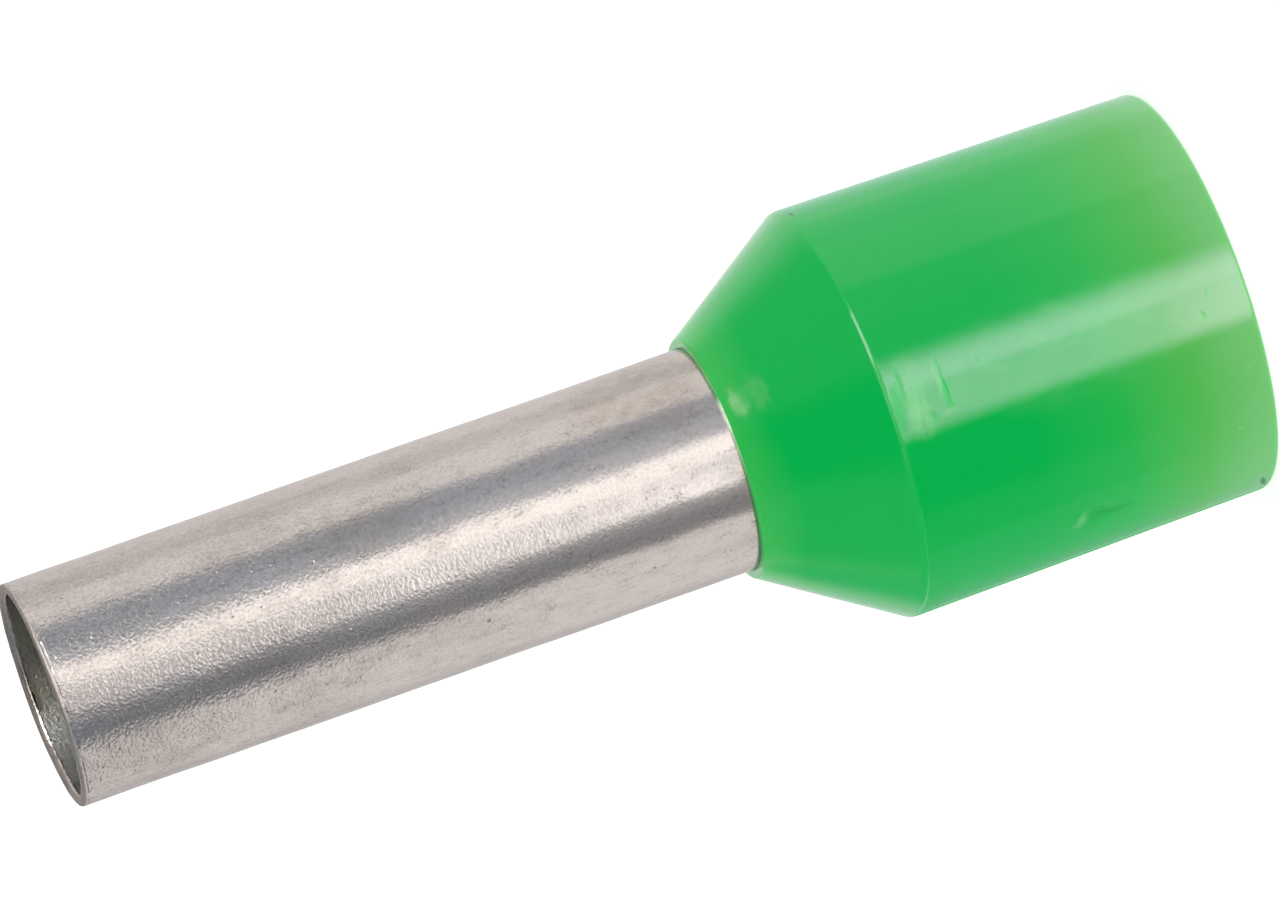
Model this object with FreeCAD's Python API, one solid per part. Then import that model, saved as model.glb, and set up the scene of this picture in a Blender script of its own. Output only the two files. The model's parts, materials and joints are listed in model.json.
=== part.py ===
"""Insulated wire ferrule: a tinned copper sleeve with its back end flared, held in a moulded plastic collar.

Millimetres. The axis is +Z. The origin is the centre of the collar's mouth, where the wire goes in,
and the bare sleeve points up. Both pieces are bodies of revolution, each turned from one half section.
"""

import FreeCAD
import Part
import math
import os

# The sleeve, for a fine-stranded conductor of 6 square millimetres
SLEEVE_BORE = 3.5  # inside diameter
SLEEVE_WALL = 0.2
PIN_LENGTH = 12.0  # bare sleeve beyond the collar
FLARE_RIM_DIAMETER = 5.2  # outside, at the open end of the flare
FLARE_BEND_RADIUS = 0.5  # outside of the sleeve, where the flare begins
LIP_ROUNDING_OUT = 0.05  # outer edge of the tip, where the tube was cut
LIP_ROUNDING_IN = 0.1  # inner edge of the tip, which the wire meets

# The collar, for the wire's insulation
COLLAR_BORE = 6.3  # inside diameter
COLLAR_WALL = 0.35  # at the mouth
COLLAR_LENGTH = 8.7
COLLAR_DRAFT_DEG = 0.72  # the outside grows from the mouth to the shoulder, where the mould parts
CONE_HALF_ANGLE_DEG = 32.8
CONE_WALL = 0.35  # plastic between the flare and the outside of the cone
NECK_WALL = 0.15  # plastic round the sleeve at the small end
SHOULDER_RADIUS = 0.2  # outside, where the cone begins
FUNNEL_RADIUS = 0.3  # inside, where the bore turns into the funnel
MOUTH_ROUNDING = 0.08  # outer edge of the mouth
MOUTH_LEAD_IN = 0.12  # chamfer on the inner edge of the mouth
NECK_ROUNDING = 0.05  # outer edge of the small end

# How the sleeve seats in the collar
GRIP_CLEARANCE = 0.0  # the collar grips the sleeve and its flare face to face
RIM_CLEARANCE = 0.05  # between the flare's rim and the step that it sits behind

# Radii and slopes that follow from the sizes above
SLEEVE_IN = SLEEVE_BORE / 2
SLEEVE_OUT = SLEEVE_IN + SLEEVE_WALL
TIP_HEIGHT = COLLAR_LENGTH + PIN_LENGTH
RIM_OUT = FLARE_RIM_DIAMETER / 2
LAND_RADIUS = SLEEVE_OUT + GRIP_CLEARANCE
NECK_OUT = LAND_RADIUS + NECK_WALL
BORE_RADIUS = COLLAR_BORE / 2
MOUTH_OUT = BORE_RADIUS + COLLAR_WALL
DRAFT_SLOPE = math.tan(math.radians(COLLAR_DRAFT_DEG))
CONE_ANGLE = math.radians(CONE_HALF_ANGLE_DEG)
CONE_SLOPE = math.tan(CONE_ANGLE)
DOWN_THE_CONE = FreeCAD.Vector(math.sin(CONE_ANGLE), 0, -math.cos(CONE_ANGLE))
INTO_THE_CONE = FreeCAD.Vector(-math.cos(CONE_ANGLE), 0, -math.sin(CONE_ANGLE))

# Depths below the outside of the cone, square to it
GRIP_DEPTH = CONE_WALL
FLARE_OUT_DEPTH = GRIP_DEPTH + GRIP_CLEARANCE
FLARE_IN_DEPTH = FLARE_OUT_DEPTH + SLEEVE_WALL

# Lengths below this count as none
TOUCHING = 1e-6


class HalfSection:
    """A closed outline in the XZ plane: corners joined by straight runs, each rounded by its own arc."""

    def __init__(self):
        self.corners = []

    def corner(self, point, rounding=0.0):
        """Adds the next corner, and the radius of the arc that rounds it."""
        self.corners.append((point, rounding))

    def arc_at(self, i):
        """Start, middle and end of the arc at a corner. A sharp corner has no middle."""
        here, rounding = self.corners[i]
        if rounding < TOUCHING:
            return here, None, here
        back = (self.corners[i - 1][0] - here).normalize()
        ahead = (self.corners[(i + 1) % len(self.corners)][0] - here).normalize()
        half_turn = back.getAngle(ahead) / 2
        setback = rounding / math.tan(half_turn)
        to_middle = rounding / math.sin(half_turn) - rounding
        middle = here + (back + ahead).normalize() * to_middle
        return here + back * setback, middle, here + ahead * setback

    def edges(self):
        """The outline's straight runs and tangent arcs, in order."""
        arcs = [self.arc_at(i) for i in range(len(self.corners))]
        found = []
        for i, (start, middle, end) in enumerate(arcs):
            before = arcs[i - 1][2]
            if (start - before).Length > TOUCHING:
                found.append(Part.LineSegment(before, start).toShape())
            if middle is not None:
                found.append(Part.Arc(start, middle, end).toShape())
        return found

    def turned(self):
        """The solid that the outline sweeps in one full turn about the Z axis."""
        face = Part.Face(Part.Wire(self.edges()))
        return face.revolve(FreeCAD.Vector(0, 0, 0), FreeCAD.Vector(0, 0, 1), 360)


def at(radius, height):
    """A point of a half section."""
    return FreeCAD.Vector(radius, 0, height)


def on_cone(radius, depth=0.0):
    """The point at a radius on the cone that lies a depth below the collar's outside."""
    run = radius - NECK_OUT - depth * INTO_THE_CONE.x
    return at(radius, COLLAR_LENGTH - run / CONE_SLOPE + depth * INTO_THE_CONE.z)


def shoulder():
    """The corner where the drafted outside of the collar meets the cone."""
    height = (NECK_OUT + COLLAR_LENGTH * CONE_SLOPE - MOUTH_OUT) / (DRAFT_SLOPE + CONE_SLOPE)
    return at(MOUTH_OUT + height * DRAFT_SLOPE, height)


def flare_rim():
    """Outer and inner corner of the flare's rim, which is cut square to the flare's wall."""
    outer = on_cone(RIM_OUT, FLARE_OUT_DEPTH)
    return outer, outer + INTO_THE_CONE * SLEEVE_WALL


def insulating_collar():
    """One moulding: a cup for the insulation, a funnel flush with the flare, and a land on the sleeve."""
    rim_outer, rim_inner = flare_rim()
    step = DOWN_THE_CONE * RIM_CLEARANCE
    section = HalfSection()
    section.corner(at(BORE_RADIUS + MOUTH_LEAD_IN, 0))
    section.corner(at(MOUTH_OUT, 0), MOUTH_ROUNDING)
    section.corner(shoulder(), SHOULDER_RADIUS)
    section.corner(at(NECK_OUT, COLLAR_LENGTH), NECK_ROUNDING)
    section.corner(at(LAND_RADIUS, COLLAR_LENGTH))
    section.corner(on_cone(LAND_RADIUS, GRIP_DEPTH), FLARE_BEND_RADIUS - GRIP_CLEARANCE)
    section.corner(rim_outer + step - INTO_THE_CONE * GRIP_CLEARANCE)
    section.corner(rim_inner + step)
    section.corner(on_cone(BORE_RADIUS, FLARE_IN_DEPTH), FUNNEL_RADIUS)
    section.corner(at(BORE_RADIUS, MOUTH_LEAD_IN))
    return section.turned()


def metal_sleeve():
    """One drawn tube: a lip with both edges broken, a straight pin, and a back end flared like the cone."""
    rim_outer, rim_inner = flare_rim()
    section = HalfSection()
    section.corner(at(SLEEVE_OUT, COLLAR_LENGTH))
    section.corner(at(SLEEVE_OUT, TIP_HEIGHT), LIP_ROUNDING_OUT)
    section.corner(at(SLEEVE_IN, TIP_HEIGHT), LIP_ROUNDING_IN)
    section.corner(on_cone(SLEEVE_IN, FLARE_IN_DEPTH), FLARE_BEND_RADIUS + SLEEVE_WALL)
    section.corner(rim_inner)
    section.corner(rim_outer)
    section.corner(on_cone(SLEEVE_OUT, FLARE_OUT_DEPTH), FLARE_BEND_RADIUS)
    return section.turned()


def main():
    """Builds each piece and writes it to its own file."""
    os.makedirs("parts", exist_ok=True)
    pieces = {"insulating_collar": insulating_collar(), "metal_sleeve": metal_sleeve()}
    for name, shape in pieces.items():
        shape.exportStep(f"parts/{name}.step")


main()
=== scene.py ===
"""The looks of one insulated wire ferrule: a tinned copper sleeve in a green plastic collar.

Metres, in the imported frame, apart from the finishes, which count in millimetres. The ferrule stands on the
mouth of its collar, +Z runs up its axis to the sleeve's tip, and the camera stands on the -Y side. Sizes that
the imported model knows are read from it, and the rest are named below.
"""

import json
import logging
import math
from collections.abc import Callable, Sequence
from dataclasses import dataclass
from enum import Enum

import bmesh
import bpy
from mathutils import Matrix, Vector


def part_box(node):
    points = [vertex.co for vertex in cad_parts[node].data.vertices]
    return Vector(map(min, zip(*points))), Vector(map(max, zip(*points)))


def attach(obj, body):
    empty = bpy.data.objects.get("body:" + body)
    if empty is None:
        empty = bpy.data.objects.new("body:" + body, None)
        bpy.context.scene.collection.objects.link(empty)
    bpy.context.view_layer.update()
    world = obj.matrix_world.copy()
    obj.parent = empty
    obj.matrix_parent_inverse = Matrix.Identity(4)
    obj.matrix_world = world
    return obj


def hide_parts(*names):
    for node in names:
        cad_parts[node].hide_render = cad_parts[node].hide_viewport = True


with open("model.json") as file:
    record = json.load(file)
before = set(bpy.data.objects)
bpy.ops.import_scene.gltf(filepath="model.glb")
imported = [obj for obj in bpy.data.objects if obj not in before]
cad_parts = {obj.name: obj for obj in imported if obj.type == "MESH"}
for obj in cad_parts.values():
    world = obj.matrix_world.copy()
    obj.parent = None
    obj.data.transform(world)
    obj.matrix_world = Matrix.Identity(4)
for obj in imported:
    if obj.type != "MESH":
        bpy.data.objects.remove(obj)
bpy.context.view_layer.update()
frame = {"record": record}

MM = 0.001
LOG = logging.getLogger("wire_ferrule")

Colour = tuple[float, float, float]
Span = tuple[float, float]
Socket = bpy.types.NodeSocket
Piece = bpy.types.Object

WHITE: Colour = (1.0, 1.0, 1.0)
NOISE_MIDDLE = 0.5
CREASE_ANGLE = math.radians(30)

# Sockets of the Mix node when it blends two colours
MIX_FACTOR, MIX_FIRST, MIX_SECOND, MIX_RESULT = 0, 6, 7, 2

# Where a mark begins and where it is whole: the squared share of the way from its middle to its edge, and how
# far in front of the axis
MARK_EDGE: Span = (1.0, 0.1)
MARK_SIDE: Span = (0.0, 0.5)


class Slot(Enum):
    """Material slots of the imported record."""

    SLEEVE = "tinned_copper"
    COLLAR = "collar_plastic"


class Node(Enum):
    """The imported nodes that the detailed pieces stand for."""

    SLEEVE = "metal_sleeve"
    COLLAR = "insulating_collar"


def mount_radius(name: str) -> float:
    """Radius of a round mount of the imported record, in metres."""
    mount = next(m for m in frame["record"]["mounts"] if m["name"] == name)
    return mount["dims"]["r_mm"] * MM


def opaque(colour: Colour) -> tuple[float, float, float, float]:
    """The colour with full alpha, as sockets and ramps want it."""
    return (*colour, 1.0)


# Shader graphs


class Wire:
    """A number on a shader link. Arithmetic on it adds Math nodes to its graph."""

    def __init__(self, graph: "ShaderGraph", socket: Socket) -> None:
        """Wraps the output socket of one of a graph's nodes."""
        self.graph = graph
        self.socket = socket

    def maths(self, operation: str, first: "Wire | float", second: "Wire | float" = 0.0) -> "Wire":
        """The result of one Math node."""
        node = self.graph.add("ShaderNodeMath", {0: first, 1: second}, operation=operation)
        return Wire(self.graph, node.outputs[0])

    def __add__(self, other: "Wire | float") -> "Wire":
        """self + other."""
        return self.maths("ADD", self, other)

    __radd__ = __add__

    def __sub__(self, other: "Wire | float") -> "Wire":
        """self - other."""
        return self.maths("SUBTRACT", self, other)

    def __rsub__(self, other: float) -> "Wire":
        """other - self."""
        return self.maths("SUBTRACT", other, self)

    def __mul__(self, other: "Wire | float") -> "Wire":
        """self * other."""
        return self.maths("MULTIPLY", self, other)

    __rmul__ = __mul__

    def __pow__(self, power: float) -> "Wire":
        """self to a power."""
        return self.maths("POWER", self, power)

    def size(self) -> "Wire":
        """The number without its sign."""
        return self.maths("ABSOLUTE", self)

    def rise(self, low: float, high: float) -> "Wire":
        """A smooth step from 0 where the number is low to 1 where it is high.

        Args:
            low: where the step starts.
            high: where it ends. It may be below low, which turns the step round.

        Returns:
            The step, between 0 and 1.
        """
        sockets = {"Value": self, "From Min": low, "From Max": high}
        node = self.graph.add("ShaderNodeMapRange", sockets, interpolation_type="SMOOTHSTEP")
        return Wire(self.graph, node.outputs["Result"])


class ShaderGraph:
    """The node tree of one material or world, built from empty."""

    def __init__(self, owner: bpy.types.Material | bpy.types.World) -> None:
        """Empties the owner's tree.

        Args:
            owner: the material or world to fill.
        """
        owner.use_nodes = True
        self.tree = owner.node_tree
        self.tree.nodes.clear()

    def add(self, kind: str, sockets: dict[str | int, object], **settings: object) -> bpy.types.Node:
        """Adds one node of any type.

        Args:
            kind: the node's type.
            sockets: values or links for its inputs, by name or number.
            **settings: its properties, set first.

        Returns:
            The new node.
        """
        node = self.tree.nodes.new(kind)
        for name, value in settings.items():
            setattr(node, name, value)
        for key, value in sockets.items():
            link = value.socket if isinstance(value, Wire) else value
            if isinstance(link, Socket):
                self.tree.links.new(link, node.inputs[key])
            else:
                node.inputs[key].default_value = link
        return node

    def millimetres(self) -> Socket:
        """Object coordinates in millimetres, so that a scale of 1 is one feature per millimetre."""
        source = self.add("ShaderNodeTexCoord", {}).outputs["Object"]
        return self.add("ShaderNodeMapping", {"Vector": source, "Scale": (1 / MM,) * 3}).outputs["Vector"]

    def axes(self, position: Socket) -> tuple[Wire, Wire, Wire]:
        """The three coordinates of a position as numbers."""
        node = self.add("ShaderNodeSeparateXYZ", {"Vector": position})
        return Wire(self, node.outputs["X"]), Wire(self, node.outputs["Y"]), Wire(self, node.outputs["Z"])

    def vector(self, operation: str, *inputs: object) -> bpy.types.Node:
        """A Vector Math node with its inputs in order."""
        return self.add("ShaderNodeVectorMath", dict(enumerate(inputs)), operation=operation)

    def blend(self, factor: Wire, first: object, second: object) -> Socket:
        """The first colour where the factor is 0, and the second where it is 1. Each may be a link."""
        sockets = {MIX_FACTOR: factor, MIX_FIRST: first, MIX_SECOND: second}
        return self.add("ShaderNodeMix", sockets, data_type="RGBA").outputs[MIX_RESULT]

    def layered(self, base: object, layers: Sequence[tuple[Wire, Colour]]) -> Socket:
        """Lays colours over a colour, one after another.

        Args:
            base: a colour or a link.
            layers: how much of each colour there is, and the colour.

        Returns:
            The colour on top.
        """
        for factor, colour in layers:
            base = self.blend(factor, base, opaque(colour))
        return base

    def ramp(self, share: Wire, stops: Sequence[tuple[float, Colour]]) -> Socket:
        """A colour that follows a number.

        Args:
            share: the number.
            stops: the number and colour of each stop, in order.

        Returns:
            The colour.
        """
        node = self.add("ShaderNodeValToRGB", {"Fac": share})
        elements = node.color_ramp.elements
        while len(elements) < len(stops):
            elements.new(1.0)
        for element, (position, colour) in zip(elements, stops):
            element.position = position
            element.color = opaque(colour)
        return node.outputs["Color"]

    def bump(self, height: Wire) -> Socket:
        """A normal from a height in millimetres."""
        return self.add("ShaderNodeBump", {"Height": height, "Distance": MM}).outputs["Normal"]

    def noise(self, position: Socket, scale: float, detail: float) -> bpy.types.Node:
        """A Noise Texture node."""
        return self.add("ShaderNodeTexNoise", {"Vector": position, "Scale": scale, "Detail": detail})

    def surface(self, shader: Socket) -> None:
        """Ends a material's graph with a shader."""
        self.add("ShaderNodeOutputMaterial", {"Surface": shader})


@dataclass(frozen=True)
class Pattern:
    """Soft noise about 0, mostly within 0.5 either way.

    The scale counts features per millimetre along X, Y and Z. The detail is the number of finer octaves.
    """

    name: str
    scale: tuple[float, float, float]
    detail: float

    def on(self, graph: ShaderGraph, position: Socket) -> Wire:
        """The noise at a position."""
        placed = graph.add("ShaderNodeMapping", {"Vector": position, "Scale": self.scale}).outputs["Vector"]
        return Wire(graph, graph.noise(placed, 1.0, self.detail).outputs["Fac"]) - NOISE_MIDDLE


@dataclass(frozen=True)
class Warp:
    """Noise that pushes positions about, which makes the edges of marks uneven.

    The scale counts pushes per millimetre, and the reach is the furthest push to either side.
    """

    scale: float
    reach: float
    detail: float = 2.0

    def on(self, graph: ShaderGraph, position: Socket) -> Socket:
        """Adds the pushes to a graph.

        Args:
            graph: the graph to add to.
            position: the point.

        Returns:
            The pushed point.
        """
        noise = graph.noise(position, self.scale, self.detail).outputs["Color"]
        centred = graph.vector("SUBTRACT", noise, (NOISE_MIDDLE,) * 3).outputs[0]
        return graph.vector("MULTIPLY_ADD", centred, (2 * self.reach,) * 3, position).outputs[0]


@dataclass(frozen=True)
class Dots:
    """Scattered round dots, 1 in the middle of a dot and 0 between them.

    The scale counts cells per millimetre. A dot's radius is a share of its cell, its core is a share of the
    radius, and `filled` is the share of the cells that has a dot, give or take the margin.
    """

    scale: float
    radius: float
    filled: float
    core: float = 1 / 3
    margin: float = 0.02

    def on(self, graph: ShaderGraph, position: Socket) -> Wire:
        """Adds the dots to a graph.

        Args:
            graph: the graph to add to.
            position: the point.

        Returns:
            How much of a dot is there.
        """
        node = graph.add("ShaderNodeTexVoronoi", {"Vector": position, "Scale": self.scale})
        dice = graph.add("ShaderNodeSeparateColor", {"Color": node.outputs["Color"]})
        empty = 1 - self.filled
        chosen = Wire(graph, dice.outputs["Red"]).rise(empty, empty + self.margin)
        return Wire(graph, node.outputs["Distance"]).rise(self.radius, self.radius * self.core) * chosen


class Mix:
    """A weighted sum of the named parts of a finish."""

    def __init__(self, offset: float = 0.0, edge: Span = (0.0, 1.0), **weights: float) -> None:
        """Sets the weights.

        Args:
            offset: what is added to the sum.
            edge: the sums at which the mask is empty and full.
            **weights: the weight of each part, by its name.
        """
        self.offset = offset
        self.edge = edge
        self.weights = weights

    def of(self, parts: dict[str, Wire]) -> Wire:
        """The sum itself."""
        return sum((parts[name] * weight for name, weight in self.weights.items()), self.offset)

    def mask(self, parts: dict[str, Wire]) -> Wire:
        """A smooth step of the sum, between 0 and 1."""
        return self.of(parts).rise(*self.edge)


@dataclass(frozen=True)
class Mark:
    """A small oval mark on the outside of a turned piece, such as a scratch or a speck.

    The azimuth is counted in degrees from the camera's side towards +X. Lengths are in millimetres, and the
    tilt turns the long side from level towards the axis.
    """

    azimuth: float
    height: float
    length: float
    width: float
    tilt: float = 0.0

    def mask(self, graph: ShaderGraph, position: Socket) -> Wire:
        """Adds the mark to a graph.

        Args:
            graph: the graph to add to.
            position: the point.

        Returns:
            1 in the mark and 0 outside it.
        """
        turn = math.radians(self.azimuth)
        tilt = math.radians(self.tilt)
        level = Vector((math.cos(turn), math.sin(turn), 0))
        outward = Vector((math.sin(turn), -math.cos(turn), 0))
        along = level * math.cos(tilt) + Vector((0, 0, math.sin(tilt)))
        across = Vector((0, 0, math.cos(tilt))) - level * math.sin(tilt)
        centred = graph.vector("SUBTRACT", position, (0, 0, self.height)).outputs[0]
        run, rise, out = (
            Wire(graph, graph.vector("DOT_PRODUCT", centred, axis).outputs["Value"])
            for axis in (along, across, outward)
        )
        from_middle = (run * run) * (2 / self.length) ** 2 + (rise * rise) * (2 / self.width) ** 2
        return from_middle.rise(*MARK_EDGE) * out.rise(*MARK_SIDE)


Marks = tuple[Mark, ...]


def sum_of(marks: Marks, graph: ShaderGraph, position: Socket) -> Wire:
    """All marks of one sort in one mask."""
    masks = [mark.mask(graph, position) for mark in marks]
    return sum(masks[1:], masks[0])


# Finishes


@dataclass(frozen=True)
class TinnedCopper:
    """Copper under a thin coat of electroplated tin: warm light grey and satin, with a fine grain."""

    name: str = "tinned_copper"
    tin: Colour = (0.645, 0.58, 0.54)
    cloud: Colour = (0.52, 0.46, 0.42)
    tarnish: Colour = (0.43, 0.36, 0.34)
    # Colour of the pits, and of the painted shade in the cut line's groove.
    stain: Colour = (0.43, 0.37, 0.31)
    pit_and_shade: Colour = (0.10, 0.09, 0.09)
    speck: Colour = (0.34, 0.31, 0.29)
    # Painted shade: the bore is painted a darker, more olive grey than the tin.
    bore: Colour = (0.40, 0.385, 0.30)
    # Painted light: the bore's -X side is painted a lighter grey.
    bore_painted_light: Colour = (0.46, 0.48, 0.47)
    reflection_tint: Colour = (0.82, 0.80, 0.80)

    patterns: tuple[Pattern, ...] = (
        Pattern("clouds", (1.1, 1.1, 0.7), 3.0),
        Pattern("fine_clouds", (4.5, 4.5, 3.0), 3.0),
        Pattern("drawn_lines", (9.0, 9.0, 0.9), 2.0),
        Pattern("ridges", (12.0, 12.0, 14.0), 1.0),
        Pattern("grain", (20.0, 20.0, 20.0), 1.0),
        Pattern("speckle", (18.0, 18.0, 18.0), 2.0),
        Pattern("peel", (1.8, 1.8, 1.2), 1.0),
    )
    uneven: Warp = Warp(12.0, 0.035)
    flecks: Dots = Dots(9.0, 0.40, 0.5)
    small_pits: Dots = Dots(5.0, 0.17, 0.30)
    large_pits: Dots = Dots(1.6, 0.065, 0.30)
    stains: Marks = (
        Mark(52.0, 9.90, 2.4, 3.0),
        Mark(25.0, 15.0, 1.3, 2.2),
        Mark(-21.0, 17.6, 0.5, 2.2),
    )

    skin_edge: float = 0.05
    # A cut line runs round the outside just under the lip: a shallow groove whose colour is also painted
    # darker, as painted shade along it.
    cut_line_drop: float = 0.080
    cut_line_width: float = 0.025
    cut_line_runs: Mix = Mix(clouds=1.0, fine_clouds=1.0, offset=0.15, edge=(0.0, 0.3))
    lip: Mix = Mix(below_tip=1.0, edge=(0.065, 0.035))
    burr: Mix = Mix(below_tip=1.0, fine_clouds=0.10, edge=(0.13, 0.10))
    pitting: Mix = Mix(wear=1.0, edge=(0.1, 0.9))
    all_pits: Mix = Mix(small_pits=0.9, large_pits=1.0)

    coarseness: Mix = Mix(wear=0.84, offset=0.26)
    patchiness: Mix = Mix(wear=0.6, offset=0.8)
    lip_smoothness: float = 0.75
    grain_height: Mix = Mix(ridges=0.0038, grain=0.0060, flecks=0.0015)
    mark_height: Mix = Mix(peel=0.0040, pits=-0.0060, shaded_cut_line=-0.0080)
    roughness: Mix = Mix(clouds=0.08, fine_clouds=0.10, lip=0.36, within=0.26, offset=0.20)

    cloudiness: Mix = Mix(
        clouds=1.3, fine_clouds=1.0, drawn_lines=0.6, grain=0.7, wear=0.35, offset=0.15
    )
    dullness: Mix = Mix(fine_clouds=1.0, drawn_lines=0.7, grain=1.1, edge=(0.16, 0.5))
    staining: Mix = Mix(fine_clouds=1.2, offset=0.6)
    stain_strength: float = 0.6
    # Pits darken for their own colour; the cut line darkens as painted shade in its groove.
    pits_and_line_shade: Mix = Mix(pits=0.55, shaded_cut_line=0.35)
    # Painted light: where the bore is painted lighter, on its -X side, broken by clouds.
    painted_bore_light_side: Mix = Mix(fine_clouds=1.2, x=-1.0, edge=(-0.3, 1.2))
    speckling: Mix = Mix(speckle=2.4, offset=0.4)
    speck_strength: Mix = Mix(wear=0.30, within=0.30, offset=0.18)

    def material(self, sleeve: "MetalSleeve") -> bpy.types.Material:
        """Builds the finish for one sleeve.

        Args:
            sleeve: the sleeve, whose sizes the finish follows.

        Returns:
            The material.
        """
        made = bpy.data.materials.new(self.name)
        graph = ShaderGraph(made)
        position = graph.millimetres()
        uneven = self.uneven.on(graph, position)
        x, y, z = graph.axes(position)
        parts = {pattern.name: pattern.on(graph, position) for pattern in self.patterns}
        parts["x"] = x
        tip = sleeve.tip / MM
        parts["wear"] = z.rise(sleeve.form.height / MM, tip)
        parts["flecks"] = self.flecks.on(graph, position)

        outer = sleeve.form.sleeve_radius / MM
        wall_middle = (sleeve.bore_radius / MM + outer) / 2
        radius = (x * x + y * y) ** 0.5
        outer_skin = radius.rise(wall_middle - self.skin_edge, wall_middle + self.skin_edge)
        lean_x, lean_y = (math.tan(tilt) for tilt in sleeve.cut_tilts)
        parts["below_tip"] = tip - z + (outer - y) * lean_x - (outer - x) * lean_y
        parts["lip"] = self.lip.mask(parts)
        outside = (outer_skin + parts["lip"] + self.burr.mask(parts)).rise(0.0, 1.0)
        parts["within"] = 1.0 - outside
        parts["small_pits"] = self.small_pits.on(graph, uneven) * self.pitting.mask(parts)
        parts["large_pits"] = self.large_pits.on(graph, uneven)
        parts["pits"] = self.all_pits.of(parts)
        from_line = (parts["below_tip"] - self.cut_line_drop).size()
        unbroken = from_line.rise(self.cut_line_width, 0.0) * outer_skin
        parts["shaded_cut_line"] = unbroken * self.cut_line_runs.mask(parts)

        patchy = self.coarseness.of(parts) + self.patchiness.of(parts) * parts["fine_clouds"]
        coarse = patchy * (1.0 - parts["lip"] * self.lip_smoothness)
        height = self.grain_height.of(parts) * coarse + self.mark_height.of(parts)
        stained = sum_of(self.stains, graph, uneven) * self.staining.mask(parts)
        skin_colour = graph.layered(opaque(self.tin), (
            (self.cloudiness.mask(parts), self.cloud),
            (self.dullness.mask(parts), self.tarnish),
            (stained * self.stain_strength, self.stain),
            (self.pits_and_line_shade.of(parts), self.pit_and_shade),
        ))
        # The bore's colour: painted shade, lightened on its -X side as painted light.
        bore_painted_shade_and_light = graph.layered(opaque(self.bore), ((self.painted_bore_light_side.mask(parts), self.bore_painted_light),))
        both_sides = graph.blend(outside, bore_painted_shade_and_light, skin_colour)
        specks = self.speckling.mask(parts) * self.speck_strength.of(parts)
        sockets = {
            "Base Color": graph.layered(both_sides, ((specks, self.speck),)),
            "Metallic": 1.0,
            "Roughness": self.roughness.of(parts),
            "Specular Tint": opaque(self.reflection_tint),
            "Normal": graph.bump(height),
        }
        graph.surface(graph.add("ShaderNodeBsdfPrincipled", sockets).outputs["BSDF"])
        return made


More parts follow.
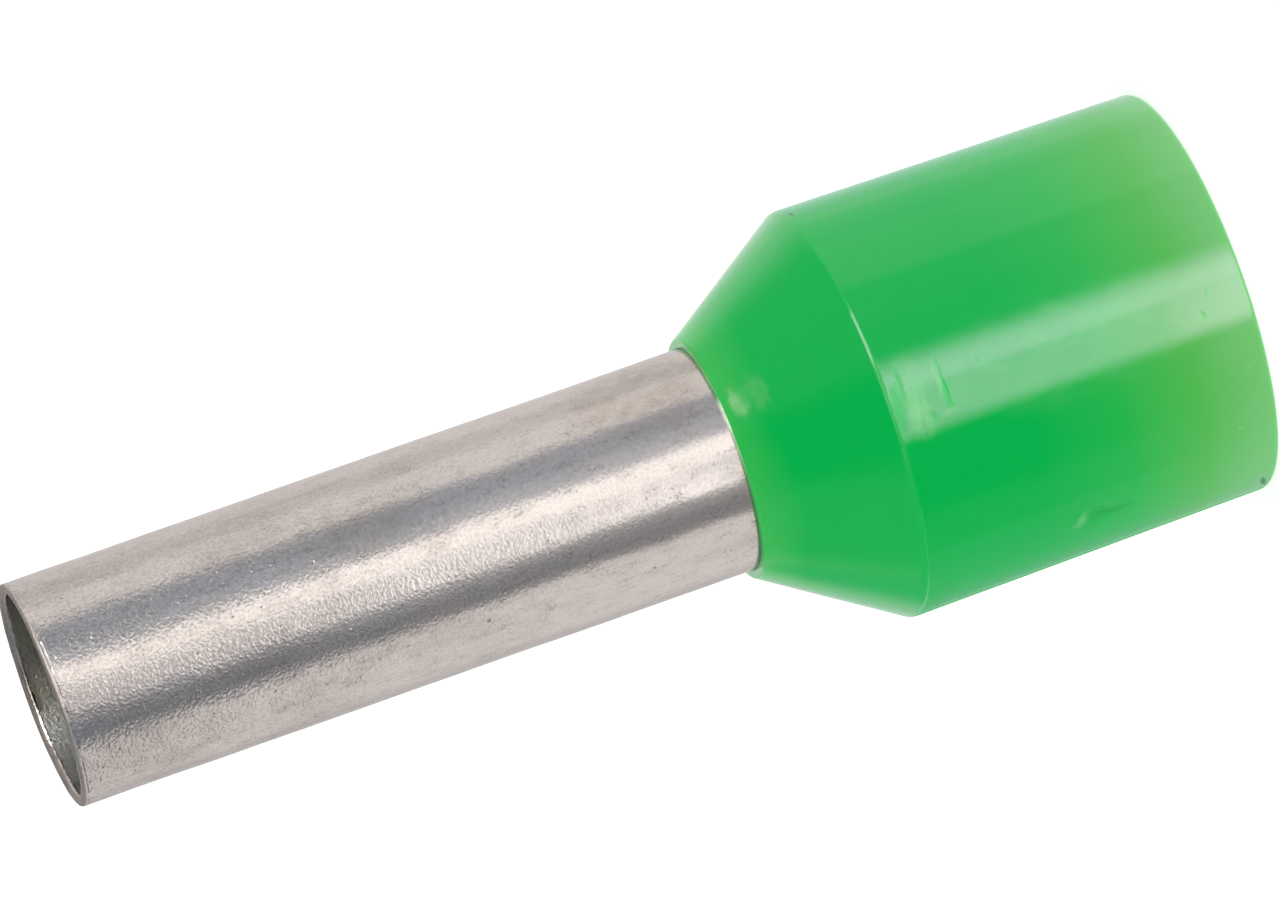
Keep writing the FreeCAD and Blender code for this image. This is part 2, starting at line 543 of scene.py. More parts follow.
@dataclass(frozen=True)
class CollarPlastic:
    """Moulded green plastic, a little translucent. Where the cup is hollow, and at the thin neck, its colour
    is painted lighter and yellower: painted light shining through the thin walls.
    """

    name: str = "collar_plastic"
    # The tones from the mouth up to the body, and the neck's tone, are painted light shining through the thin
    # walls; the body tone is the plastic's own green.
    mouth: Colour = (0.176, 0.544, 0.176)
    lip: Colour = (0.088, 0.488, 0.090)
    cup: Colour = (0.018, 0.468, 0.079)
    body: Colour = (0.000, 0.446, 0.074)
    neck: Colour = (0.040, 0.490, 0.092)
    tone_heights: tuple[float, ...] = (0.02, 0.14, 0.31, 0.48, 0.925, 1.0)
    tone_waver: float = 0.9
    dirt: Colour = (0.010, 0.090, 0.020)
    # Painted shade: scratches and the gate's hollows are painted a deeper, darker green.
    hollow: Colour = (0.000, 0.432, 0.066)
    # A paler green for scuffs and mottling, and for the painted highlight in the worn strip and on the cone's
    # rubs.
    scuff_and_sheen: Colour = (0.30, 0.62, 0.28)
    reflection_tint: Colour = (1.0, 0.615, 1.0)
    glow: float = 0.6
    glow_radii: Colour = (0.6, 1.0, 0.5)
    glow_reach: float = 0.30 * MM

    patterns: tuple[Pattern, ...] = (
        Pattern("broad", (0.45, 0.45, 0.30), 1.0),
        Pattern("mottle", (1.3, 1.3, 0.9), 3.0),
        Pattern("smear", (3.6, 3.6, 1.6), 3.0),
        Pattern("hatch", (1.4, 1.4, 8.0), 2.0),
    )
    uneven: Warp = Warp(5.0, 0.04)
    ragged: Warp = Warp(4.0, 0.12)
    # Texture of the rubs, real scuffs and painted highlight alike.
    rub_and_sheen_texture: Mix = Mix(hatch=2.0, smear=1.0, offset=0.65)
    # Smears of painted highlight in the worn strip.
    wear_and_sheen_smears: Mix = Mix(smear=1.3, mottle=0.7, edge=(-0.25, 0.35))
    mottling: Mix = Mix(mottle=1.0)
    # Scuffs and mottle, with painted highlight in the worn strip and the cone's rubs.
    scuffs_and_painted_sheen: Mix = Mix(mottled=0.04, worn_and_sheen=0.12, bruised=0.28, rubbed_and_sheen=0.21)
    # Painted shade in the scratches and the gate's hollows.
    shading: Mix = Mix(scratched=0.18, sunk=1.0)
    hatching: Mix = Mix(rubbed_and_sheen=1.0, worn_and_sheen=0.4)
    dirt_strength: float = 0.75
    height: Mix = Mix(
        broad=0.012, smear=0.0014, hatched=0.0005, scratched=-0.00288, creased=-0.0042, bruised=0.0015
    )
    roughness: Mix = Mix(
        worn_and_sheen=0.08, bruised=0.12, rubbed_and_sheen=0.12, creased=0.28, scratched=0.28, sunk=0.28, offset=0.13
    )

    scratches: Marks = (
        Mark(-4.2, 5.41, 0.70, 0.17, 1),
        Mark(0.5, 5.40, 0.95, 0.06, 1),
        Mark(-6.5, 0.88, 0.18, 0.08, 20),
        Mark(-2.0, 0.70, 0.22, 0.08, -15),
        Mark(2.0, 4.75, 0.10, 0.06, -30),
    )
    bruises: Marks = (
        Mark(-8.8, 5.44, 0.20, 0.40, 8),
        Mark(1.0, 5.50, 0.80, 0.10, 1),
        Mark(-24.5, 0.36, 0.14, 0.10),
        Mark(-43.0, 0.67, 0.08, 0.20),
        Mark(-56.5, 3.60, 0.50, 0.20, -20),
    )
    # Rubs: real scuffs in the highlight by the shoulder, lightened; the four on the cone by the neck are
    # painted highlight, a weak light on fine circumferential scratches.
    rubs_and_sheen: Marks = (
        Mark(20.5, 8.47, 0.80, 0.36, 3),
        Mark(21.0, 8.47, 0.62, 0.30, 3),
        Mark(18.5, 8.50, 0.60, 0.24, 3),
        Mark(20.0, 8.16, 0.80, 0.50, 3),
        Mark(-1.0, 5.92, 1.60, 0.70, 2),
        Mark(-7.0, 5.95, 0.95, 0.62, 4),
        Mark(-7.5, 5.98, 0.60, 0.44, 4),
    )
    creases: Marks = (
        Mark(-3.5, 6.27, 1.20, 0.26, -3),
        Mark(2.0, 6.12, 0.90, 0.12, -2),
        Mark(-8.3, 5.74, 0.26, 0.14, 10),
    )
    # Painted highlight: a long strip down the side facing the camera, where the collar's highlight falls, is
    # lightened in smears; it also roughens and hatches the surface there.
    wear: Marks = (Mark(-2.0, 3.1, 6.6, 2.2, 90),)
    specks: Marks = (
        Mark(-74.5, 0.20, 0.66, 0.13, 11),
        Mark(73.0, 6.34, 0.30, 0.09),
    )
    hollows: Marks = (
        Mark(-55.5, 3.32, 0.50, 0.46),
        Mark(-55.5, 3.32, 0.36, 0.36),
        Mark(-57.0, 3.02, 0.22, 0.80),
    )

    def material(self, collar_top: float) -> bpy.types.Material:
        """Builds the finish for one collar.

        Args:
            collar_top: its height, in metres.

        Returns:
            The material.
        """
        made = bpy.data.materials.new(self.name)
        graph = ShaderGraph(made)
        position = graph.millimetres()
        uneven = self.uneven.on(graph, position)
        ragged = self.ragged.on(graph, position)
        parts = {pattern.name: pattern.on(graph, position) for pattern in self.patterns}
        parts["mottled"] = self.mottling.mask(parts)
        parts["scratched"] = sum_of(self.scratches, graph, uneven)
        parts["bruised"] = sum_of(self.bruises, graph, ragged)
        # Real scuffs, and painted highlight on the cone by the neck.
        parts["rubbed_and_sheen"] = sum_of(self.rubs_and_sheen, graph, ragged) * self.rub_and_sheen_texture.mask(parts)
        parts["creased"] = sum_of(self.creases, graph, uneven)
        # The worn strip: rougher and hatched, and lightened as painted highlight.
        parts["worn_and_sheen"] = sum_of(self.wear, graph, position) * self.wear_and_sheen_smears.mask(parts)
        parts["sunk"] = sum_of(self.hollows, graph, ragged)
        parts["hatched"] = self.hatching.of(parts) * parts["hatch"]
        dirty = sum_of(self.specks, graph, uneven)

        z = graph.axes(position)[2]
        # The ramp paints the light that shines through the walls near the mouth and the neck.
        share = (z + parts["broad"] * self.tone_waver) * (MM / collar_top)
        tones_with_painted_backlight = (self.mouth, self.lip, self.cup, self.body, self.body, self.neck)
        stops = tuple(zip(self.tone_heights, tones_with_painted_backlight))
        colour = graph.layered(graph.ramp(share, stops), (
            # Paler for scuffs, and as painted highlight where the worn strip and the cone's rubs lie.
            (self.scuffs_and_painted_sheen.of(parts), self.scuff_and_sheen),
            # Painted shade in the scratches and the gate's hollows.
            (self.shading.of(parts), self.hollow),
            (dirty * self.dirt_strength, self.dirt),
        ))
        sockets = {
            "Base Color": colour,
            "Roughness": self.roughness.of(parts),
            "Subsurface Weight": self.glow,
            "Subsurface Radius": self.glow_radii,
            "Subsurface Scale": self.glow_reach,
            "Specular Tint": opaque(self.reflection_tint),
            "Normal": graph.bump(self.height.of(parts)),
        }
        shader = graph.add("ShaderNodeBsdfPrincipled", sockets, subsurface_method="RANDOM_WALK")
        graph.surface(shader.outputs["BSDF"])
        return made


# Turned meshes


@dataclass(frozen=True)
class Corner:
    """A corner of a turned outline, in metres. Its rows are the faces from the corner before it."""

    radius: float
    height: float
    rounding: float = 0.0
    rows: int = 1


class Lathe:
    """Shapes one mesh about the Z axis with edit-mode operators, a ring at a time."""

    ring_tolerance = 0.002 * MM
    merge_distance = 0.0002 * MM
    rounding_segments = 7
    rounding_profile = 0.5

    def __init__(self, name: str, segments: int) -> None:
        """Takes the piece's name, and how many faces it has once round the axis."""
        self.name = name
        self.segments = segments

    def turn(self, corners: Sequence[Corner], closed: bool) -> Piece:
        """Turns an outline into a mesh and rounds its corners.

        Args:
            corners: the outline, in order.
            closed: whether the last corner joins the first.

        Returns:
            The piece, in object mode, with its normals outward.
        """
        bpy.ops.object.select_all(action="DESELECT")
        bpy.ops.mesh.primitive_circle_add(vertices=self.segments, radius=corners[0].radius)
        made = bpy.context.object
        made.name = made.data.name = self.name
        bpy.ops.object.mode_set(mode="EDIT")
        bpy.ops.transform.translate(value=(0, 0, corners[0].height))
        for start, end in zip(corners, corners[1:]):
            self._extrude(start, end)
        if closed:
            self._select_rings(made, corners[0], corners[-1])
            bpy.ops.mesh.bridge_edge_loops()
        bpy.ops.mesh.select_all(action="SELECT")
        bpy.ops.mesh.remove_doubles(threshold=self.merge_distance)
        bpy.ops.mesh.normals_make_consistent(inside=False)
        for before, here, after in zip([corners[-1], *corners], corners, [*corners[1:], corners[0]]):
            if here.rounding:
                come = Vector((here.radius - before.radius, here.height - before.height))
                leave = Vector((after.radius - here.radius, after.height - here.height))
                self.round_ring(made, here, come.angle(leave))
        bpy.ops.object.mode_set(mode="OBJECT")
        return made

    def _extrude(self, start: Corner, end: Corner) -> None:
        """Draws the selected ring out to the next corner, in equal rows.

        Args:
            start: the corner that the ring is at.
            end: the next corner.
        """
        for row in range(1, end.rows + 1):
            before = start.radius + (end.radius - start.radius) * (row - 1) / end.rows
            after = start.radius + (end.radius - start.radius) * row / end.rows
            lift = (end.height - start.height) / end.rows
            bpy.ops.mesh.extrude_region_move(TRANSFORM_OT_translate={"value": (0, 0, lift)})
            middle = (0, 0, start.height + lift * row)
            bpy.ops.transform.resize(value=(after / before, after / before, 1), center_override=middle)

    def _on_ring(self, point: Vector, ring: Corner) -> bool:
        """Whether a point lies on a ring, give or take the tolerance."""
        return max(abs(point.xy.length - ring.radius), abs(point.z - ring.height)) < self.ring_tolerance

    def _select_rings(self, made: Piece, *rings: Corner) -> None:
        """Selects the edges that lie on some rings, and nothing else.

        Args:
            made: the piece, in edit mode.
            *rings: the corners that the rings were turned from.
        """
        bpy.ops.mesh.select_mode(type="EDGE")
        bpy.ops.mesh.select_all(action="DESELECT")
        shape = bmesh.from_edit_mesh(made.data)
        for edge in shape.edges:
            if any(all(self._on_ring(end.co, ring) for end in edge.verts) for ring in rings):
                edge.select = True
        shape.select_flush_mode()
        bmesh.update_edit_mesh(made.data)

    def round_ring(self, made: Piece, ring: Corner, turn: float) -> None:
        """Rounds one ring of a piece in edit mode, where its outline turns by an angle in radians."""
        self._select_rings(made, ring)
        bpy.ops.mesh.bevel(
            offset=ring.rounding * math.tan(turn / 2),
            offset_type="OFFSET",
            segments=self.rounding_segments,
            profile=self.rounding_profile,
            affect="EDGES",
        )


def select_only(piece: Piece) -> None:
    """Makes one piece the only selected one, and the active one.

    Args:
        piece: the piece, in object mode.
    """
    bpy.ops.object.select_all(action="DESELECT")
    piece.select_set(True)
    bpy.context.view_layer.objects.active = piece


def select_points(piece: Piece, wanted: Callable[[bmesh.types.BMVert], bool]) -> None:
    """Opens a piece in edit mode with only some of its points selected.

    Args:
        piece: the piece, in object mode.
        wanted: tells which points are selected.
    """
    bpy.ops.object.mode_set(mode="EDIT")
    bpy.ops.mesh.select_mode(type="VERT")
    bpy.ops.mesh.select_all(action="DESELECT")
    shape = bmesh.from_edit_mesh(piece.data)
    for vertex in shape.verts:
        vertex.select = wanted(vertex)
    shape.select_flush_mode()
    bmesh.update_edit_mesh(piece.data)


def apply_modifier(piece: Piece, kind: str, **settings: object) -> None:
    """Adds a modifier to a piece and applies it.

    Args:
        piece: the piece, in object mode.
        kind: the modifier's type.
        **settings: the modifier's properties.
    """
    select_only(piece)
    modifier = piece.modifiers.new(kind.lower(), kind)
    for name, value in settings.items():
        setattr(modifier, name, value)
    bpy.ops.object.modifier_apply(modifier=modifier.name)


def smooth(piece: Piece) -> None:
    """Shades a piece smooth, with creases where its faces turn sharply."""
    select_only(piece)
    bpy.ops.object.shade_smooth_by_angle(angle=CREASE_ANGLE)


@dataclass(frozen=True)
class Ripples:
    """The slight unevenness of a real surface.

    The size is one ripple's width and the depth is all their height, in metres. `along` is the direction of
    the displacement, as the modifier names it.
    """

    size: float
    depth: float
    along: str = "NORMAL"

    def add(self, piece: Piece, where: Callable[[Vector], bool]) -> None:
        """Adds the ripples to part of a piece.

        Args:
            piece: the piece, in object mode.
            where: tells which points they reach.
        """
        reached = [v.index for v in piece.data.vertices if where(v.co)]
        group = piece.vertex_groups.new(name="rippled")
        group.add(reached, 1.0, "REPLACE")
        texture = bpy.data.textures.new("ripples", "CLOUDS")
        texture.noise_scale = self.size
        texture.noise_depth = 1
        settings = {"texture": texture, "vertex_group": group.name, "direction": self.along}
        apply_modifier(piece, "DISPLACE", strength=self.depth, mid_level=NOISE_MIDDLE, **settings)
        piece.vertex_groups.clear()
        bpy.data.textures.remove(texture)


def finish_piece(piece: Piece, node: Node, material: bpy.types.Material) -> None:
    """Dresses a piece and puts it in the frame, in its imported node's place.

    Args:
        piece: the piece, at the origin.
        node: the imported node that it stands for.
        material: its finish.
    """
    piece.data.materials.clear()
    piece.data.materials.append(material)
    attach(piece, "root")
    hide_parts(node.value)
    LOG.info("%s: %d faces", piece.name, len(piece.data.polygons))


@dataclass
class CollarForm:
    """The outline that the collar and the sleeve's flare share, in metres."""

    height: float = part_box(Node.COLLAR.value)[1].z
    widest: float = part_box(Node.COLLAR.value)[1].x
    bore_radius: float = mount_radius("insulation_bore")
    sleeve_radius: float = mount_radius("pin")
    mouth_wall: float = 0.35 * MM
    neck_wall: float = 0.15 * MM
    cone_angle: float = math.radians(32.8)
    flare_depth: float = 0.35 * MM

    @property
    def mouth(self) -> float:
        """Radius of the collar's outside at the mouth."""
        return self.bore_radius + self.mouth_wall

    @property
    def neck(self) -> float:
        """Radius of the collar's outside where the bare sleeve begins."""
        return self.sleeve_radius + self.neck_wall

    @property
    def slope(self) -> float:
        """How much the cone widens for each unit of height."""
        return math.tan(self.cone_angle)

    def on_cone(self, radius: float, depth: float) -> float:
        """Height of a point that lies a depth below the cone's outside, square to it."""
        run = radius - self.neck + depth / math.cos(self.cone_angle)
        return self.height - run / self.slope


@dataclass
class MetalSleeve:
    """The drawn tube: a cut lip with both edges broken, the straight pin, and the flared back end."""

    form: CollarForm
    finish: TinnedCopper = TinnedCopper()
    bore_radius: float = mount_radius("conductor_bore")
    tip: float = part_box(Node.SLEEVE.value)[1].z
    rim_radius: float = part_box(Node.SLEEVE.value)[1].x
    bend_radius: float = 0.5 * MM
    lip_outside: float = 0.05 * MM
    lip_inside: float = 0.1 * MM
    cut_tilts: Span = (math.radians(1.3), math.radians(0.9))
    tilted_end: float = 0.55
    drawn_waves: Ripples = Ripples(1.3 * MM, 0.014 * MM)
    cut_waves: Ripples = Ripples(0.5 * MM, 0.02 * MM, "Z")
    segments: int = 256
    bend_rows: int = 3
    pin_rows: int = 90

    def build(self) -> None:
        """Makes the sleeve and puts it in the frame."""
        form = self.form
        outer = form.sleeve_radius
        wall = outer - self.bore_radius
        outline = [
            Corner(self.rim_radius, form.on_cone(self.rim_radius, form.flare_depth)),
            Corner(outer, form.on_cone(outer, form.flare_depth), self.bend_radius, rows=self.bend_rows),
            Corner(outer, form.height),
            Corner(outer, self.tip, rows=self.pin_rows),
        ]
        lathe = Lathe("metal_sleeve_drawn_tube", self.segments)
        piece = lathe.turn(outline, closed=False)
        even = {"use_even_offset": True, "use_quality_normals": True}
        apply_modifier(piece, "SOLIDIFY", thickness=wall, offset=-1, **even)

        # Both edges of the tip are rounded, which leaves a thin flat between them
        bpy.ops.object.mode_set(mode="EDIT")
        for radius, rounding in ((outer, self.lip_outside), (self.bore_radius, self.lip_inside)):
            lathe.round_ring(piece, Corner(radius, self.tip, rounding), math.pi / 2)
        bpy.ops.object.mode_set(mode="OBJECT")
        self._tilt_cut(piece, wall)
        self.drawn_waves.add(piece, lambda point: point.z > form.height)
        self.cut_waves.add(piece, lambda point: point.z > self.tip - wall)
        smooth(piece)
        finish_piece(piece, Node.SLEEVE, self.finish.material(self))

    def _tilt_cut(self, piece: Piece, wall: float) -> None:
        """Turns the tube's end, which wasn't cut quite square: its -Y side is longer, its -X side shorter.

        Args:
            piece: the sleeve, in object mode.
            wall: its wall. The end that is turned is a share of it long.
        """
        outer = self.form.sleeve_radius
        pivots = ((0, outer, self.tip), (outer, 0, self.tip))
        select_points(piece, lambda vertex: vertex.co.z > self.tip - wall * self.tilted_end)
        for axis, tilt, pivot in zip("XY", self.cut_tilts, pivots):
            bpy.ops.transform.rotate(value=tilt, orient_axis=axis, center_override=pivot)
        bpy.ops.object.mode_set(mode="OBJECT")


@dataclass(frozen=True)
class Push:
    """A soft push at the collar's gate, in metres: how far above the gate, how far outward, and its reach."""

    above: float
    out: float
    reach: float


@dataclass
class InsulatingCollar:
    """The moulding: a cup for the insulation, a funnel, a cone and a short land on the sleeve."""

    form: CollarForm
    finish: CollarPlastic = CollarPlastic()
    shoulder_rounding: float = 0.2 * MM
    funnel_rounding: float = 0.3 * MM
    mouth_rounding: float = 0.08 * MM
    neck_rounding: float = 0.05 * MM
    lead_in: float = 0.12 * MM
    sleeve_wall: float = 0.2 * MM
    sleeve_rim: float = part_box(Node.SLEEVE.value)[1].x
    land_clearance: float = 0.004 * MM
    land_rounding: float = 0.008 * MM
    gate_azimuth: float = math.radians(-56.5)
    gate_height: float = 3.34 * MM
    gate_stub_and_hollow: tuple[Push, ...] = (
        Push(0.28 * MM, 0.032 * MM, 0.16 * MM),
        Push(-0.02 * MM, -0.048 * MM, 0.30 * MM),
        Push(-0.30 * MM, -0.024 * MM, 0.24 * MM),
    )
    moulded_waves: Ripples = Ripples(2.4 * MM, 0.010 * MM)
    plain_rim: float = 0.36 * MM
    skin: float = 0.075 * MM
    segments: int = 360
    body_rows: int = 80
    cone_rows: int = 18
    land_rows: int = 3
    seat_rows: int = 4
    funnel_rows: int = 5
    bore_rows: int = 30

    def build(self) -> None:
        """Makes the collar and puts it in the frame."""
        lathe = Lathe("insulating_collar_moulding", self.segments)
        piece = lathe.turn(self._outline(), closed=True)
        self._scar_gate(piece)
        self.moulded_waves.add(piece, self._is_outside)
        smooth(piece)
        finish_piece(piece, Node.COLLAR, self.finish.material(self.form.height))

    def _is_outside(self, point: Vector) -> bool:
        """Whether a point lies on the collar's outside, clear of its two rims.

        Args:
            point: the point, in metres.

        Returns:
            True where the waves of the moulding reach.
        """
        cone = self.form.neck + (self.form.height - point.z) * self.form.slope
        skin = min(self.form.mouth, cone) - self.skin
        return self.plain_rim < point.z < self.form.height - self.lead_in and point.xy.length > skin

    def _outline(self) -> list[Corner]:
        """The collar's half section, from the inner edge of the mouth round the outside and back.

        Returns:
            Its corners.
        """
        form = self.form
        mouth, neck, bore, seat = form.mouth, form.neck, form.bore_radius, self.sleeve_rim
        cone_run = (form.widest - neck) / form.slope
        draft = (form.widest - mouth) / (form.height - cone_run)
        shoulder = (neck + form.height * form.slope - mouth) / (draft + form.slope)
        widest = mouth + shoulder * draft
        land = form.sleeve_radius + self.land_clearance
        step = seat - self.sleeve_wall * math.cos(form.cone_angle)
        funnel_depth = form.flare_depth + self.sleeve_wall
        funnel_end = form.on_cone(bore, funnel_depth)
        return [
            Corner(bore + self.lead_in, 0),
            Corner(mouth, 0, self.mouth_rounding),
            Corner(widest, shoulder, self.shoulder_rounding, rows=self.body_rows),
            Corner(neck, form.height, self.neck_rounding, rows=self.cone_rows),
            Corner(land, form.height, self.land_rounding),
            Corner(land, form.on_cone(land, form.flare_depth), rows=self.land_rows),
            Corner(seat, form.on_cone(seat, form.flare_depth), rows=self.seat_rows),
            Corner(step, form.on_cone(step, funnel_depth)),
            Corner(bore, funnel_end, self.funnel_rounding, rows=self.funnel_rows),
            Corner(bore, self.lead_in, rows=self.bore_rows),
        ]

    def _scar_gate(self, piece: Piece) -> None:
        """Leaves the torn stub and the hollow beside it where the moulding was broken from its runner.

        Args:
            piece: the collar, in object mode.
        """
        outward = Vector((math.sin(self.gate_azimuth), -math.cos(self.gate_azimuth), 0))
        for push in self.gate_stub_and_hollow:
            place = outward * self.form.widest + Vector((0, 0, self.gate_height + push.above))
            nearest = min(piece.data.vertices, key=lambda v: (v.co - place).length_squared).index
            select_points(piece, lambda vertex: vertex.index == nearest)
            bpy.ops.transform.translate(
                value=outward * push.out,
                use_proportional_edit=True,
                use_proportional_connected=True,
                proportional_edit_falloff="SMOOTH",
                proportional_size=push.reach,
            )
            bpy.ops.object.mode_set(mode="OBJECT")


# Studio

# Heights that several panels share: beside the collar, above the pin, and beside the whole ferrule
BY_COLLAR: Span = (-0.020, 0.0047)
OVER_PIN: Span = (0.064, 0.173)
UPPER: Span = (-0.045, 0.08)
LOWER: Span = (-0.50, -0.045)

# Distances of those panels from the axis
NEAR, NEARER, FAR = 0.0135, 0.0125, 0.31


@dataclass(frozen=True)
class Panel:
    """An upright panel of the studio, seen only in reflections.

    Azimuths are in degrees from the camera's side towards +X. Heights and the distance from the axis are in
    metres. The fades are the shares of its width over which its light dies away at its two azimuths.
    """

    name: str
    azimuths: Span
    heights: Span
    distance: float
    light: Colour
    fades: Span = (0.01, 0.01)

    def build(self) -> None:
        """Stands the panel up, facing the axis."""
        azimuth = math.radians(sum(self.azimuths) / 2)
        wide = 2 * self.distance * math.tan(math.radians(self.azimuths[1] - self.azimuths[0]) / 2)
        low, high = self.heights
        outward = Vector((math.sin(azimuth), -math.cos(azimuth), 0))
        place = outward * self.distance + Vector((0, 0, (low + high) / 2))
        bpy.ops.object.select_all(action="DESELECT")
        bpy.ops.mesh.primitive_plane_add(size=1, location=place, rotation=(math.pi / 2, 0, azimuth))
        made = bpy.context.object
        made.name = self.name
        made.scale = (wide, high - low, 1)
        made.data.materials.append(self._glow())
        made.visible_camera = made.visible_diffuse = made.visible_shadow = False
        LOG.info("panel %s", self.name)

    def _glow(self) -> bpy.types.Material:
        """An even glow, met by rays and not sampled as a lamp, so that the floor can't cut its reflection.

        Returns:
            The panel's material.
        """
        made = bpy.data.materials.new(self.name)
        made.cycles.emission_sampling = "NONE"
        graph = ShaderGraph(made)
        across = graph.axes(graph.add("ShaderNodeTexCoord", {}).outputs["Generated"])[0]
        lit = across.rise(0.0, self.fades[0]) * across.rise(1.0, 1.0 - self.fades[1])
        clear = graph.add("ShaderNodeBsdfTransparent", {})
        glow = graph.add("ShaderNodeEmission", {"Color": opaque(self.light), "Strength": 1.0})
        panel = graph.add("ShaderNodeMixShader", {0: lit, 1: clear.outputs[0], 2: glow.outputs[0]})
        graph.surface(panel.outputs[0])
        return made


@dataclass(frozen=True)
class Studio:
    """A white tent with a grey ceiling, a soft light beside the camera and grey gaps on both sides of it.

    The hood is the dark round patch of the ceiling above the camera. It has its direction and, from that
    direction, the angles at which it begins and is whole. The ceiling's edge is given as elevations.
    """

    floor_size: float = 4.0
    floor_colour: Colour = (0.85, 0.85, 0.85)
    floor_lift: float = 0.38
    tent_light: float = 1.09
    ceiling: float = 0.30
    ceiling_edge: Span = (math.radians(14), math.radians(30))
    hood: tuple[float, float, float] = (-0.14, -0.55, 0.82)
    hood_edge: Span = (math.radians(30), math.radians(13))
    panels: tuple[Panel, ...] = (
        Panel("soft_light", (0, 20.8), (-0.30, 0.03), 0.12, (1.65, 1.65, 1.65)),
        Panel("soft_light_low", (-28, 0), (-0.30, -0.010), 0.12, (1.85, 1.85, 1.85)),
        Panel("soft_light_high", (-28, 0), (-0.010, 0.03), 0.12, (0.74, 0.77, 0.81)),
        Panel("collar_light", (0, 17), (-0.003, 0.0062), 0.006, (6.7, 6.7, 7.2), (0.01, 0.75)),
        Panel("collar_light_low", (-19.5, 0), (-0.003, 0.0007), 0.006, (6.2, 6.2, 6.4), (0.35, 0.01)),
        Panel("collar_light_high", (-19.5, 0), (0.0007, 0.0062), 0.006, (4.7, 4.7, 4.9), (0.35, 0.01)),
        Panel("collar_gap_plus", (0, 45), BY_COLLAR, NEAR, (0.36, 0.40, 0.45), (0.01, 0.3)),
        Panel("collar_plus", (112, 168), BY_COLLAR, NEARER, (0.78, 0.86, 0.90), (0.3, 0.01)),
        Panel("collar_gap", (-100, 0), BY_COLLAR, NEAR, (0.02, 0.02, 0.02)),
        Panel("collar_shade", (-84, -53), BY_COLLAR, NEARER, (0.22, 0.26, 0.31), (0.01, 0.5)),
        Panel("collar_side", (-150, -76), BY_COLLAR, NEARER, (0.36, 0.48, 0.48)),
        Panel("collar_back", (-178, -149), BY_COLLAR, NEARER, (0.12, 0.54, 0.20)),
        Panel("shoulder_light", (21, 53), OVER_PIN, 0.28, (7.6, 7.6, 7.6)),
        Panel("shoulder_light_low", (-24, 21), OVER_PIN, 0.28, (2.2, 2.2, 2.2), (0.5, 0.01)),
        Panel("shoulder_shade", (-150, -24), (-0.005, 0.150), 0.30, (0.30, 0.36, 0.44)),
        Panel("gap_plus_inner", (22, 38), UPPER, FAR, (0.50, 0.59, 0.70)),
        Panel("gap_plus_inner_low", (22, 38), LOWER, FAR, (0.68, 0.71, 0.76)),
        Panel("gap_plus", (38, 66), UPPER, FAR, (0.39, 0.46, 0.56)),
        Panel("gap_plus_low", (38, 66), LOWER, FAR, (0.50, 0.53, 0.58)),
        Panel("gap_minus_inner", (-40, -28), UPPER, FAR, (0.35, 0.405, 0.475)),
        Panel("gap_minus_inner_low", (-40, -28), LOWER, FAR, (0.47, 0.48, 0.49)),
        Panel("gap_minus", (-62, -40), UPPER, FAR, (0.23, 0.28, 0.345)),
        Panel("gap_minus_low", (-62, -40), LOWER, FAR, (0.36, 0.355, 0.36)),
        Panel("dim_side", (100, 126), (-0.50, 0.10), 0.32, (0.84, 0.84, 0.86)),
        Panel("dim_low", (-178, -134), (-0.50, 0.10), 0.32, (0.80, 0.81, 0.82), (0.01, 0.4)),
    )

    def build(self) -> None:
        """Makes the floor, the tent's light and the panels."""
        self._floor()
        self._tent()
        for panel in self.panels:
            panel.build()

    def _floor(self) -> None:
        """A plain pale floor. The camera sees it white, darkened only by the ferrule's shadow."""
        bpy.ops.object.select_all(action="DESELECT")
        bpy.ops.mesh.primitive_plane_add(size=self.floor_size)
        floor = bpy.context.object
        floor.name = "floor"
        material = bpy.data.materials.new("floor")
        material.cycles.emission_sampling = "NONE"
        graph = ShaderGraph(material)
        seen = Wire(graph, graph.add("ShaderNodeLightPath", {}).outputs["Is Camera Ray"])
        matt = graph.add("ShaderNodeBsdfDiffuse", {"Color": opaque(self.floor_colour)})
        lift = graph.add("ShaderNodeEmission", {"Strength": self.floor_lift})
        both = graph.add("ShaderNodeAddShader", {0: matt.outputs[0], 1: lift.outputs[0]})
        chosen = graph.add("ShaderNodeMixShader", {0: seen, 1: matt.outputs[0], 2: both.outputs[0]})
        graph.surface(chosen.outputs[0])
        floor.data.materials.append(material)
        floor.visible_glossy = floor.visible_diffuse = False

    def _tent(self) -> None:
        """White light from all round, at a strength that renders colours as they are written.

        The camera sees plain white. Reflections see white sides below a grey ceiling.
        """
        world = bpy.data.worlds.new("tent")
        world.cycles.sampling_method = "NONE"
        graph = ShaderGraph(world)
        rays = graph.add("ShaderNodeLightPath", {})
        seen = Wire(graph, rays.outputs["Is Camera Ray"])
        mirrored = Wire(graph, rays.outputs["Is Glossy Ray"])
        direction = graph.add("ShaderNodeTexCoord", {}).outputs["Generated"]
        rise = graph.axes(direction)[2].rise(*(math.sin(edge) for edge in self.ceiling_edge))
        to_hood = graph.vector("DOT_PRODUCT", direction, self.hood)
        hood = Wire(graph, to_hood.outputs["Value"]).rise(*(math.cos(edge) for edge in self.hood_edge))
        in_mirror = (1.0 - rise * (1 - self.ceiling)) * (1.0 - hood)
        strength = seen + mirrored * in_mirror + (1.0 - seen - mirrored) * self.tent_light
        light = graph.add("ShaderNodeBackground", {"Color": opaque(WHITE), "Strength": strength})
        graph.add("ShaderNodeOutputWorld", {"Surface": light.outputs[0]})
        bpy.context.scene.world = world


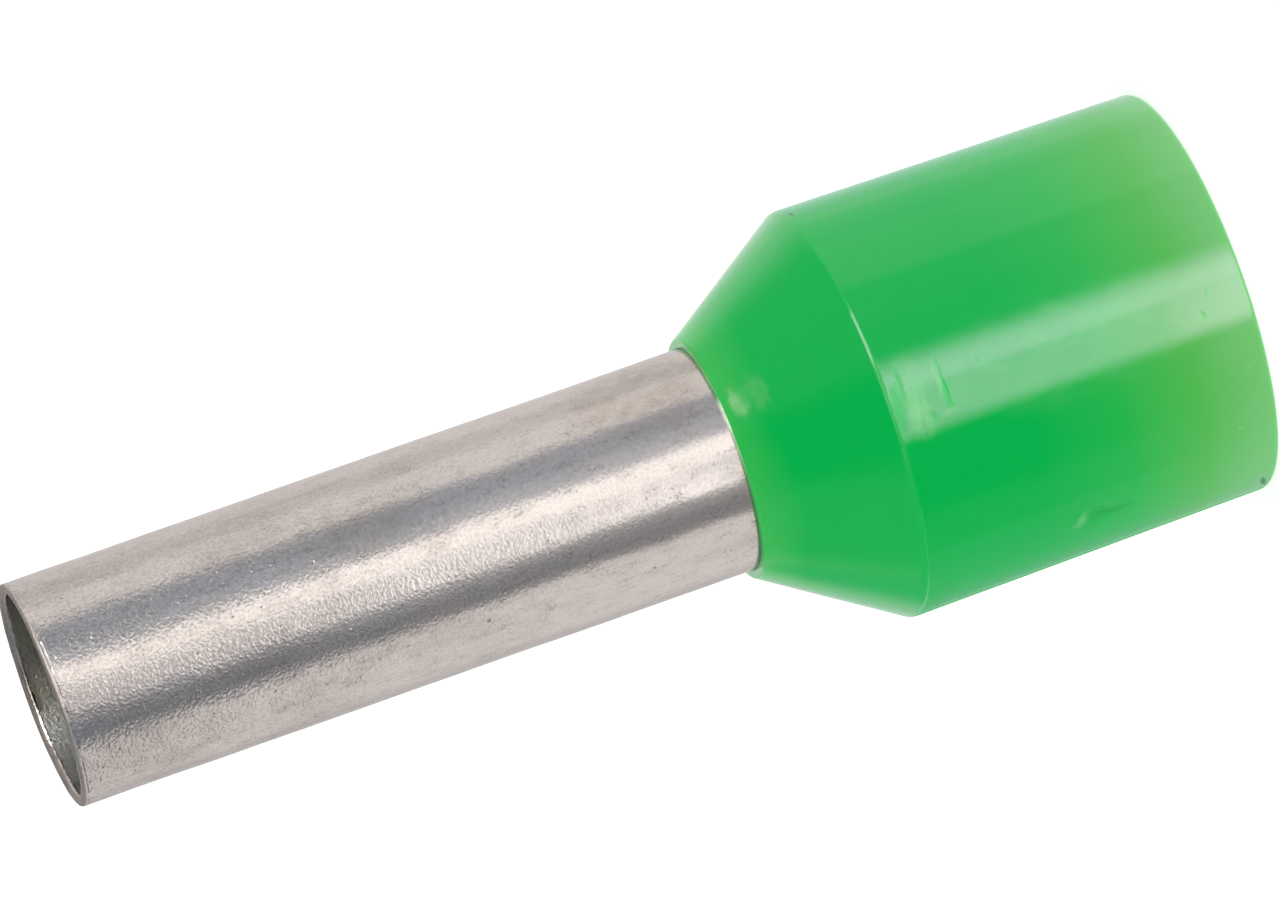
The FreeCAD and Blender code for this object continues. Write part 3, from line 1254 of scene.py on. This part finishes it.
@dataclass(frozen=True)
class PhotoCamera:
    """The camera of the photograph, in the photograph's own frame of 1280 by 900 pixels."""

    frame_width: int = 1280
    frame_height: int = 900
    sensor: float = 36.0
    distance: float = 200 * MM
    elevation: float = math.radians(11.437)
    axis_turn: float = math.radians(199.322)
    pixels_per_mm: float = 60.172
    aim_height: float = 10 * MM
    aim_pixel: Span = (643.05, 484.72)
    clip_ratio: float = 100.0

    def build(self) -> None:
        """Sets the scene's camera where the photograph was taken from."""
        data = bpy.data.cameras.new("camera")
        data.sensor_width = self.sensor
        data.lens = self.pixels_per_mm * self.distance / MM * self.sensor / self.frame_width
        data.clip_start = self.distance / self.clip_ratio
        data.clip_end = self.distance * self.clip_ratio
        made = bpy.data.objects.new("camera", data)
        bpy.context.scene.collection.objects.link(made)
        bpy.context.scene.camera = made
        made.matrix_world = self._placed()

    def _placed(self) -> Matrix:
        """The camera's place: the sleeve's axis runs across the picture, and the aim lands on its pixel.

        Returns:
            The place, as the camera's world matrix.
        """
        back = Vector((0, -math.cos(self.elevation), math.sin(self.elevation)))
        aim = Vector((0, 0, self.aim_height))
        level = back.to_track_quat("Z", "Y").to_matrix().to_4x4()
        roll = Matrix.Rotation(math.pi / 2 - self.axis_turn, 4, "Z")
        turned = level @ roll
        right, up = turned.col[0].xyz, turned.col[1].xyz
        pixel = MM / self.pixels_per_mm
        off_right = (self.aim_pixel[0] - self.frame_width / 2) * pixel
        off_down = (self.aim_pixel[1] - self.frame_height / 2) * pixel
        yaw = Matrix.Rotation(math.atan(off_right / self.distance), 4, up)
        pitch = Matrix.Rotation(math.atan(off_down / self.distance), 4, right)
        return Matrix.Translation(aim + back * self.distance) @ yaw @ pitch @ turned


def main() -> None:
    """Builds the camera, both pieces and the studio."""
    logging.basicConfig(level=logging.INFO, format="%(name)s %(message)s")
    bpy.context.scene.view_settings.view_transform = "Standard"
    PhotoCamera().build()
    form = CollarForm()
    MetalSleeve(form).build()
    InsulatingCollar(form).build()
    Studio().build()


if __name__ == "__main__":
    main()
